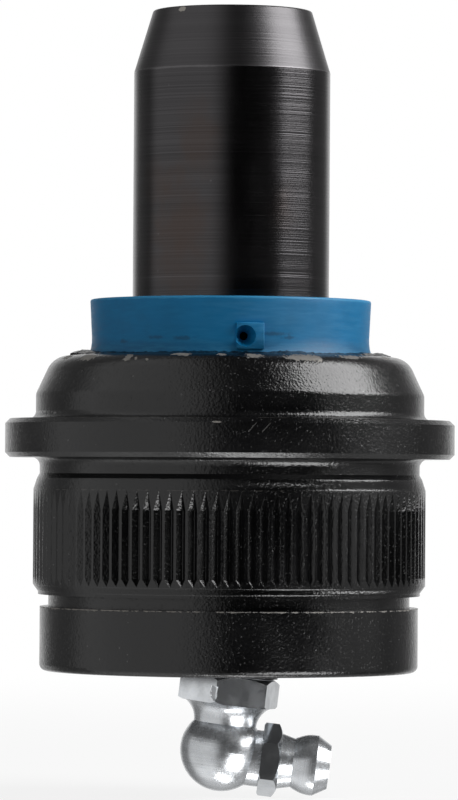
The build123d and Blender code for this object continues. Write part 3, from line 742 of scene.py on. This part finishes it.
def seal_blue(finish, sizes):
    """Moulded blue seal: cloudy colour, worn foot, lighter top rim, painted highlights on the vent
    pad's edges, painted shade at the foot and in the vent, dust and faint smudges.
    """
    material, place = new_material("Seal blue")
    height = axes(place)[2]
    cloud = noise(place, scale=130, detail=4, roughness=0.55)
    streaks = noise(stretched(place, 7.0), scale=320, detail=5, roughness=0.65)
    grain = noise(place, scale=3200, detail=3, roughness=0.6)
    wall = SEAL_HIGH.x - sizes.bead_reach
    foot = fall(height, DOME_TOP + 0.5 * MM, DOME_TOP + 1.7 * MM)
    worn = times(foot, ramp(streaks, 0.4, 0.66))
    shadow = fall(height, DOME_TOP + 0.6 * MM, DOME_TOP + 2.0 * MM)
    # A lighter top rim, and painted highlights on the vent pad's edges
    light_rim_and_pad_highlights = [
        ring_wear_and_highlight(place, radius=wall, level=SEAL_HIGH.z, reach=0.2 * MM, amount=0.9, grain=300)
    ]
    # Painted highlights on the vent pad's top edge and its right side, where the light falls
    for across, up, wide, tall in ((0, 1, 1.45, 0.1), (1, 0, 0.1, 1.35)):
        turn = degrees(sizes.pad_angle) + across * PAD_HALF_TURN
        level = DOME_TOP + sizes.vent_height + up * sizes.pad_height / 2
        centre = at(turn, wall + sizes.pad_proud, level)
        size = mm(wide, 0.5, tall)
        light_rim_and_pad_highlights.append(patch(place, centre=centre, size=size, ragged=0.1, softness=0.5))
    smudges = [
        patch(
            place, centre=at(turn, wall, DOME_TOP + up * MM),
            size=mm(wide, wide, tall), ragged=0.8, grain=1400, softness=0.8,
        )
        for turn, up, wide, tall in SEAL_SMUDGES
    ]
    dust = specks(place, scale=420, share=0.1, size=0.05)
    grime = specks(place, scale=500, share=0.1, size=0.05)
    # Painted shade deep in the vent hole
    vent = at(degrees(sizes.vent_angle), wall - 0.6 * MM, DOME_TOP + sizes.vent_height)
    vent_shade = patch(place, centre=vent, size=mm(0.75, 1.1, 0.75), ragged=0.1, softness=0.5)
    base = mix(ramp(cloud, 0.3, 0.75), finish.blue, shade(finish.blue, 0.72))
    # The lighter blue lies on the streaks, the worn foot, the top rim and the pad's painted
    # highlights
    base = layers(
        base, (ramp(streaks, 0.35, 0.8), 0.22, finish.blue_worn_and_highlit),
        (worn, 0.5, finish.blue_worn_and_highlit), (most(light_rim_and_pad_highlights), 0.5, finish.blue_worn_and_highlit),
        (shadow, 0.45, shade(finish.blue, 0.25)), (most(smudges), 0.45, finish.smudge),
        (grime, 0.6, finish.grime), (dust, 0.4, finish.dust), (vent_shade, 0.85, finish.vent),
    )
    rough = mix_value(ramp(streaks, 0.3, 0.7), 0.42, 0.56)
    normal = bump(grain, 0.006 * MM, 0.5, bump(streaks, 0.03 * MM, 0.4))
    return shaded(
        material, Base_Color=base, Roughness=rough, IOR=1.46, Specular_IOR_Level=0.28,
        Normal=normal,
    )


def zinc_plate(name, finish, origin, turn, hex_low, hex_high, dents=()):
    """Bright zinc plate over turned steel, cloudy where it was passivated, with wrench marks.

    The piece's axis starts at origin and leans by turn; its hexagon has no turning lines.
    """
    material, place = new_material(name)
    sockets = {"Vector": place, "Location": origin, "Rotation": (0, turn, 0)}
    inside = add("ShaderNodeMapping", sockets, vector_type="TEXTURE").outputs[0]
    along = axes(inside)[2]
    lines = turning_lines(inside, spacing=0.11 * MM)
    cloud = noise(place, scale=420, detail=4, roughness=0.6)
    mottled = noise(place, scale=1800, detail=3, roughness=0.6)
    pits = specks(place, scale=1100, share=0.025, size=0.07)
    blur = 0.03 * MM
    hexagon = times(
        ramp(along, hex_low - blur, hex_low + blur),
        fall(along, hex_high - blur, hex_high + blur),
    )
    turned = rest(hexagon)
    base = mix(ramp(cloud, 0.3, 0.7), finish.zinc, shade(finish.zinc, 0.8))
    base = layers(
        base, (ramp(mottled, 0.45, 0.75), 0.15, shade(finish.zinc, 0.72, 0.78, 0.92)),
        (lines, times(turned, 0.55), shade(finish.zinc, 0.62)),
        (pits, 0.6, shade(finish.zinc, 0.3)),
    )
    marks = [
        patch(place, centre=mm(*spot), size=mm(*size), ragged=0.7, grain=1500)
        for spot, size in dents
    ]
    marks = most([times(turned, 0), *marks])  # 0 all over where there are none
    scuffs = times(ramp(cloud, 0.45, 0.65), hexagon)
    rough = mix_value(ramp(mottled, 0.3, 0.7), 0.22, 0.3)
    rough = mix_value(hexagon, rough, mix_value(scuffs, 0.17, 0.21))
    rough = mix_value(marks, rough, 0.5)
    normal = bump(times(lines, turned), 0.009 * MM, 0.6)
    normal = bump(mottled, 0.002 * MM, 0.5, normal)
    normal = bump(rest(marks), 0.12 * MM, normal=normal)
    dull = most([times(turned, 0.28), times(marks, 0.5)])
    return shaded(
        material, Base_Color=base, Metallic=rest(dull), Roughness=rough, Normal=normal,
    )


def ground_steel(name, tone, rough_low, rough_high, spacing):
    """Ground bearing or spring steel, thinly oiled."""
    material, place = new_material(name)
    lines = turning_lines(place, spacing=spacing)
    cloud = noise(place, scale=300, detail=4, roughness=0.6)
    pits = specks(place, scale=1300, share=0.15, size=0.1)
    base = layers(
        mix(lines, tone, shade(tone, 0.78)),
        (ramp(cloud, 0.4, 0.75), 0.35, shade(tone, 0.8, 0.72, 0.62)),
        (pits, 0.5, shade(tone, 0.4)),
    )
    rough = mix_value(ramp(cloud, 0.3, 0.75), rough_low, rough_high)
    normal = bump(lines, 0.003 * MM, 0.5)
    return shaded(material, Base_Color=base, Metallic=1.0, Roughness=rough, Normal=normal)


SPLIT_GAP = 0.005 * MM  # between the seal's skirt and its lip
WALL_CUTS = 5  # cuts across the seal's wall, so that it bends smoothly
PAD_EDGE = 0.09 * MM  # rounding of the vent pad's edges
VENT_PROUD = 0.05 * MM  # how far the vent's cutter stands out of the pad
VENT_PAST = 0.2 * MM  # how far it reaches inside the seal
# Curve of the flared foot: shares of the waist's inset, the foot's flare and the waist's height
FOOT_CURVE = ((-0.95, 0, 0.74), (-0.6, 0, 0.45), (0, 0.1, 0.18))


class JOINT_OT_dust_seal(bpy.types.Operator):
    """Builds the blue dust seal: a skirt with a vent, and a lip that stays on the stud"""

    bl_idname = "joint.dust_seal"
    bl_label = "Dust seal"
    bl_options = {"REGISTER", "UNDO"}

    def execute(self, context):
        sizes = context.scene.joint_seal
        top = SEAL_HIGH.z
        roof = top - sizes.roof
        foot = DOME_TOP + sizes.foot_lift
        bead = SEAL_HIGH.x
        bead_low = SEAL_LOW.z
        bead_high = bead_low + sizes.bead_height
        wall = bead - sizes.bead_reach
        inner = wall - sizes.wall
        sleeve = sizes.bore + sizes.sleeve_wall
        split = sleeve + SPLIT_GAP

        ring_seat = BEAD_RING_HIGH.x + RING_GAP
        ring_low = BEAD_RING_LOW.z - RING_GAP
        ring_high = BEAD_RING_HIGH.z + RING_GAP
        outer_run = (wall, top), (wall - sizes.waist_inset, foot + sizes.waist_height)
        inner_run = (inner, ring_high), (inner, roof - sizes.roof_chamfer)
        foot_curve = []
        for inset, flare, up in FOOT_CURVE:
            out = wall + inset * sizes.waist_inset + flare * sizes.foot_flare
            foot_curve.append((out, foot + up * sizes.waist_height))
        seal = draw_section("dust_seal_blue", [
            (split, top), *outer_run, *foot_curve, (wall + sizes.foot_flare, foot), (wall, foot),
            (wall, bead_high), (bead, bead_high), (bead, bead_low), (inner, bead_low),
            (inner, ring_low), (ring_seat, ring_low), (ring_seat, ring_high), *inner_run,
            (inner - sizes.roof_chamfer, roof), (split, roof),
        ])
        edit(seal)
        for run in (outer_run, inner_run):
            divide_run(seal, *run, WALL_CUTS)
        spin_section(sizes.steps)
        pick(seal, on_ring(wall, top))
        bpy.ops.mesh.bevel(offset=sizes.rim_round, segments=3, affect="EDGES")
        settle(seal)

        level = DOME_TOP + sizes.vent_height
        depth = sizes.wall / 2 + sizes.pad_proud
        bpy.ops.mesh.primitive_cube_add(
            size=1,
            location=at(degrees(sizes.pad_angle), wall + sizes.pad_proud - depth / 2, level),
            rotation=(0, 0, sizes.pad_angle),
            scale=(sizes.pad_width, depth, sizes.pad_height),
        )
        pad = context.object
        settle(pad)
        edit(pad)
        bpy.ops.mesh.select_all(action="SELECT")
        bpy.ops.mesh.bevel(offset=PAD_EDGE, segments=2, affect="EDGES")
        cut_with(seal, pad, "UNION")

        mouth = wall + sizes.pad_proud + VENT_PROUD
        throat = inner - VENT_PAST
        flare = (sizes.vent_mouth - sizes.vent_throat) / (mouth - throat)
        bpy.ops.mesh.primitive_cone_add(
            vertices=64,
            radius1=sizes.vent_mouth + flare * VENT_PROUD,
            radius2=sizes.vent_throat,
            depth=mouth - throat,
            location=at(degrees(sizes.vent_angle), (mouth + throat) / 2, level),
            rotation=(-pi / 2, 0, sizes.vent_angle),
        )
        vent = context.object
        settle(vent)
        cut_with(seal, vent, "DIFFERENCE")
        finish_mesh(seal)
        dress(seal, seal_blue(context.scene.joint_finish, sizes))
        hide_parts("dust_seal")
        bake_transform(seal)

        # A quarter of the lip ring's wire is let into the sleeve
        wire_seat = sleeve - (LIP_RING_HIGH.x - sleeve) / 3 - RING_GAP
        wire_low = LIP_RING_LOW.z - RING_GAP
        wire_high = LIP_RING_HIGH.z + RING_GAP
        sleeve_low = top - sizes.sleeve_drop
        lip = draw_section("dust_seal_lip", [
            (sizes.bore, top), (sleeve, top), (sleeve, wire_high), (wire_seat, wire_high),
            (wire_seat, wire_low), (sleeve, wire_low), (sleeve, sleeve_low),
            (sizes.bore, sleeve_low),
        ])
        edit(lip)
        spin_section(sizes.steps)
        settle(lip)
        finish_mesh(lip)
        dress(lip, seal.data.materials[0])
        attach(lip, "seal_lip")
        return {"FINISHED"}


# Lumps of the rolled edge: turn in degrees, rise and spread in mm
CRIMP_LUMPS = (
    (-82, 0.32, 3.2), (-70, 0.22, 2.2), (-52, 0.05, 1.6), (-35, -0.05, 2.4), (-12, 0.04, 1.6),
    (6, -0.04, 2.2), (24, 0.08, 1.5), (38, -0.04, 1.8), (61, 0.16, 2.2), (84, 0.24, 2.8),
    (112, -0.05, 2.5), (150, 0.14, 2.4), (190, -0.04, 2.6), (228, 0.16, 2.8), (258, 0.06, 2.0),
)
LUMP_REACH = 0.8 * MM  # how near a lump's middle the points that it lifts are
# Section of the rolled edge: shares of its width and of its height
CRIMP_SECTION = (
    (0.0, 0.0), (0.0, 0.55), (0.08, 0.95), (0.25, 1.0), (0.5, 0.8), (0.78, 0.4), (1.0, 0.0),
)
CRIMP_SUNK = 0.06 * MM  # how deep the edge is sunk in the dome


class JOINT_OT_crimped_edge(bpy.types.Operator):
    """Builds the uneven edge of the dome that was rolled in over the seal's foot"""

    bl_idname = "joint.crimped_edge"
    bl_label = "Crimped edge"
    bl_options = {"REGISTER", "UNDO"}

    def execute(self, context):
        sizes = context.scene.joint_crimp
        seal = context.scene.joint_seal
        inner = SEAL_HIGH.x - seal.bead_reach + seal.foot_flare + sizes.gap
        low = DOME_TOP - CRIMP_SUNK
        edge = draw_section("crimped_edge", [
            (inner + out * sizes.width, low + up * (sizes.height + CRIMP_SUNK))
            for out, up in CRIMP_SECTION
        ])
        edit(edge)
        spin_section(sizes.steps)
        crest = low + sizes.height / 2
        for turn, rise, spread in CRIMP_LUMPS:
            middle = Vector(at(turn, inner + 0.3 * sizes.width, DOME_TOP))
            pick(edge, lambda p: p.z > crest and (p - middle).length < LUMP_REACH)
            bpy.ops.transform.translate(
                value=(0, 0, rise * MM), use_proportional_edit=True,
                use_proportional_connected=True, proportional_edit_falloff="SMOOTH",
                proportional_size=spread * MM,
            )
        lumps = bpy.data.textures.new("Lumps", "CLOUDS")
        lumps.noise_scale = sizes.grain
        lumps.noise_depth = 3
        modify(
            edge, "DISPLACE", texture=lumps, texture_coords="LOCAL", direction="Z",
            strength=2 * sizes.roughness, mid_level=0.5,
        )
        finish_mesh(edge)
        dress(edge, bpy.data.materials["Black coat"])
        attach(edge, "housing")
        return {"FINISHED"}


class JOINT_OT_housing_finish(bpy.types.Operator):
    """Coats the housing and the cover plate black"""

    bl_idname = "joint.housing_finish"
    bl_label = "Housing finish"
    bl_options = {"REGISTER", "UNDO"}

    def execute(self, context):
        finish = context.scene.joint_finish
        dress_nodes(black_coat(finish), "housing")
        dress_nodes(cover_coat(finish), "cover_plate")
        return {"FINISHED"}


class JOINT_OT_stud_finish(bpy.types.Operator):
    """Blues the ball stud"""

    bl_idname = "joint.stud_finish"
    bl_label = "Stud finish"
    bl_options = {"REGISTER", "UNDO"}

    def execute(self, context):
        dress_nodes(blued_steel(context.scene.joint_finish), "ball_stud")
        return {"FINISHED"}


# Levels of the hexagons along the axes of the elbow and of the nipple
ELBOW_HEX = (-3.15 * MM, 0.0)
NIPPLE_HEX = (0.0, 2.05 * MM)
# Wrench marks on the elbow: place, and reach each way, in mm
WRENCH_MARKS = (((-1.45, -5.2, -19.1), (0.42, 0.8, 0.75)), ((-3.6, -4.2, -20.4), (0.5, 0.6, 0.3)))


class JOINT_OT_fitting_finish(bpy.types.Operator):
    """Plates the elbow fitting and the grease nipple with zinc"""

    bl_idname = "joint.fitting_finish"
    bl_label = "Fitting finish"
    bl_options = {"REGISTER", "UNDO"}

    def execute(self, context):
        finish = context.scene.joint_finish
        elbow = zinc_plate("Zinc elbow", finish, ELBOW_ORIGIN, LEAN, *ELBOW_HEX, WRENCH_MARKS)
        nipple = zinc_plate("Zinc nipple", finish, NIPPLE_ORIGIN, pi / 2 + LEAN, *NIPPLE_HEX)
        dress_nodes(elbow, "elbow_fitting")
        dress_nodes(nipple, "grease_nipple")
        return {"FINISHED"}


class JOINT_OT_inner_finish(bpy.types.Operator):
    """Finishes the bearings, springs, rings, washer and check valve"""

    bl_idname = "joint.inner_finish"
    bl_label = "Inner parts finish"
    bl_options = {"REGISTER", "UNDO"}

    def execute(self, context):
        finish = context.scene.joint_finish
        bearing = ground_steel("Bearing steel", finish.ground, 0.2, 0.32, 0.12 * MM)
        ball = ground_steel("Check ball steel", finish.ground, 0.1, 0.18, 0.3 * MM)
        spring = ground_steel("Spring steel", finish.spring, 0.34, 0.5, 0.2 * MM)
        dress_nodes(bearing, "upper_race", "lower_bearing")
        dress_nodes(ball, "check_ball")
        dress_nodes(spring, "lower_spring", "upper_spring", "thrust_washer", "check_spring")
        dress_nodes(spring, "bead_ring", "lip_ring")
        return {"FINISHED"}


PANEL_SETBACK = 1.2  # the panels stand this many times further off than the cards
FLOOR_SIZE = 4  # metres
FLOOR_GAP = 0.2 * MM  # between the object and the floor
FLOOR_NEAR = 80 * MM  # the floor fades into the white ground from here
FLOOR_FAR = 350 * MM  # to here


class JOINT_OT_stage(bpy.types.Operator):
    """Sets the camera, the lamps, the pale floor and the white room"""

    bl_idname = "joint.stage"
    bl_label = "Studio"
    bl_options = {"REGISTER", "UNDO"}

    def execute(self, context):
        studio = context.scene.joint_studio
        deselect()
        self.camera(context, studio)
        # The panels light the object and the cards show in its gloss. A lamp hides another that
        # stands in the same plane, so the panels stand behind the cards.
        for name, turn, rise, size, level in (
            ("Left panel", -52, 14, (1.2, 1.2), studio.left_level),
            ("Right panel", 79, 38, (0.56, 0.74), studio.right_level),
        ):
            distance = studio.lamp_distance * PANEL_SETBACK
            self.lamp(name, turn, rise, distance, size, level).visible_glossy = False
        for name, turn, rise, size in (
            ("High card", 82, 36, (0.54, 0.62)),
            ("Low card", 45, -36, (0.5, 0.42)),
            ("Floor card", 45, -84, (0.4, 0.16)),
        ):
            lamp = self.lamp(name, turn, rise, studio.lamp_distance, size, studio.card_level)
            lamp.visible_diffuse = False
        self.floor(studio)
        self.room(context, studio)
        context.scene.view_settings.view_transform = "Standard"
        return {"FINISHED"}

    def camera(self, context, studio):
        """A long lens in front, a little above the ball and almost level."""
        bpy.ops.object.camera_add(
            location=(0, -studio.camera_distance, studio.camera_height),
            rotation=(pi / 2 + studio.camera_pitch, -studio.camera_roll, studio.camera_heading),
        )
        camera = bpy.context.object
        camera.data.lens = studio.lens
        camera.data.sensor_width = 36
        camera.data.clip_start = 0.01
        camera.data.clip_end = 20
        context.scene.camera = camera

    def lamp(self, name, turn, rise, distance, size, level):
        """A soft lamp that the camera doesn't see; a level of 1 is white, and size is in metres."""
        away = Vector(at(turn, cos(radians(rise)), sin(radians(rise))))
        bpy.ops.object.light_add(
            type="AREA",
            location=away * distance,
            rotation=away.to_track_quat("Z", "Y").to_euler(),
        )
        lamp = bpy.context.object
        lamp.name = name
        lamp.data.shape = "RECTANGLE"
        lamp.data.size, lamp.data.size_y = size
        lamp.data.energy = level * pi * size[0] * size[1]
        lamp.visible_camera = False
        return lamp

    def floor(self, studio):
        """A pale floor that keeps the shadow, fades to white and can't be seen from below."""
        level = CAD_BOX[0][2] - FLOOR_GAP
        bpy.ops.mesh.primitive_plane_add(size=FLOOR_SIZE, location=(0, 0, level))
        floor = bpy.context.object
        floor.name = "floor"
        material, place = new_material("Pale floor")
        grain = noise(place, scale=60, detail=3)
        pale = mix(grain, studio.floor_colour, shade(studio.floor_colour, 0.97))
        nodes = material.node_tree.nodes
        path = nodes.new("ShaderNodeLightPath").outputs
        away = magnitude(place)
        lift = ramp(away, FLOOR_NEAR, FLOOR_FAR, studio.floor_lift, 1.0)
        matt = add("ShaderNodeBsdfDiffuse", {"Color": pale}).outputs[0]
        white = nodes.new("ShaderNodeEmission").outputs[0]
        lift = times(path["Is Camera Ray"], lift)
        top = add("ShaderNodeMixShader", {0: lift, 1: matt, 2: white}).outputs[0]
        clear = nodes.new("ShaderNodeBsdfTransparent").outputs[0]
        under = nodes.new("ShaderNodeNewGeometry").outputs["Backfacing"]
        both = add("ShaderNodeMixShader", {0: under, 1: top, 2: clear}).outputs[0]
        add("ShaderNodeOutputMaterial", {"Surface": both})
        dress(floor, material)
        floor.visible_diffuse = floor.visible_glossy = floor.visible_shadow = False

    def room(self, context, studio):
        """White to the camera and even to matt surfaces, while gloss sees a room.

        The room is dark in front, with lit walls on both sides, a dim far half with a white opening
        straight behind, and some light from below. X is to the right, Y behind and Z up.
        """
        world = bpy.data.worlds.new("Room")
        context.scene.world = world
        world.use_nodes = True
        nodes = world.node_tree.nodes
        nodes.clear()
        way = nodes.new("ShaderNodeTexCoord").outputs["Generated"]
        x, y, z = axes(way)
        left = times(fall(x, -0.45, 0.04), studio.left_wall)
        right = times(ramp(x, 0.74, 0.96), studio.right_wall)
        beside = fall(y, 0.15, 0.4)
        walls = times(calc("ADD", left, right), beside)
        under = ramp(z, -0.45, -0.85, 0.0, studio.under)
        far = ramp(y, 0.15, 0.5, 0.0, studio.far_wall)
        opening = ramp(y, 0.78, 0.97, 0.0, studio.opening)
        gloss = calc("ADD", calc("ADD", walls, under), calc("ADD", far, opening))
        path = nodes.new("ShaderNodeLightPath").outputs
        level = mix_value(path["Is Glossy Ray"], studio.room_level, gloss)
        level = mix_value(path["Is Camera Ray"], level, 1.0)
        sockets = {"Color": (1, 1, 1, 1), "Strength": level}
        light = add("ShaderNodeBackground", sockets).outputs[0]
        add("ShaderNodeOutputWorld", {"Surface": light})
        world.cycles.sampling_method = "NONE"


class JOINT_PT_panel(bpy.types.Panel):
    """Lists the ball joint's pieces and their sizes"""

    bl_idname = "JOINT_PT_panel"
    bl_label = "Ball joint"
    bl_space_type = "VIEW_3D"
    bl_region_type = "UI"
    bl_category = "Ball joint"

    def draw(self, context):
        layout = self.layout
        for operator in OPERATORS:
            layout.operator(operator.bl_idname)
        for owner in SETTINGS:
            settings = getattr(context.scene, owner)
            box = layout.box()
            for name in settings.__annotations__:
                box.prop(settings, name)


OPERATORS = (
    JOINT_OT_housing_finish,
    JOINT_OT_stud_finish,
    JOINT_OT_fitting_finish,
    JOINT_OT_inner_finish,
    JOINT_OT_dust_seal,
    JOINT_OT_crimped_edge,
    JOINT_OT_stage,
)
SETTINGS = {
    "joint_seal": SealSizes,
    "joint_crimp": CrimpSizes,
    "joint_finish": Finishes,
    "joint_studio": Studio,
}


def register():
    for made in (*SETTINGS.values(), *OPERATORS, JOINT_PT_panel):
        bpy.utils.register_class(made)
    for name, settings in SETTINGS.items():
        setattr(bpy.types.Scene, name, PointerProperty(type=settings))


def unregister():
    for name in SETTINGS:
        delattr(bpy.types.Scene, name)
    for made in (JOINT_PT_panel, *reversed(OPERATORS), *reversed(SETTINGS.values())):
        bpy.utils.unregister_class(made)


def main():
    register()
    bpy.ops.joint.housing_finish()
    bpy.ops.joint.stud_finish()
    bpy.ops.joint.fitting_finish()
    bpy.ops.joint.inner_finish()
    bpy.ops.joint.dust_seal()
    bpy.ops.joint.crimped_edge()
    bpy.ops.joint.stage()


if __name__ == "__main__":
    main()
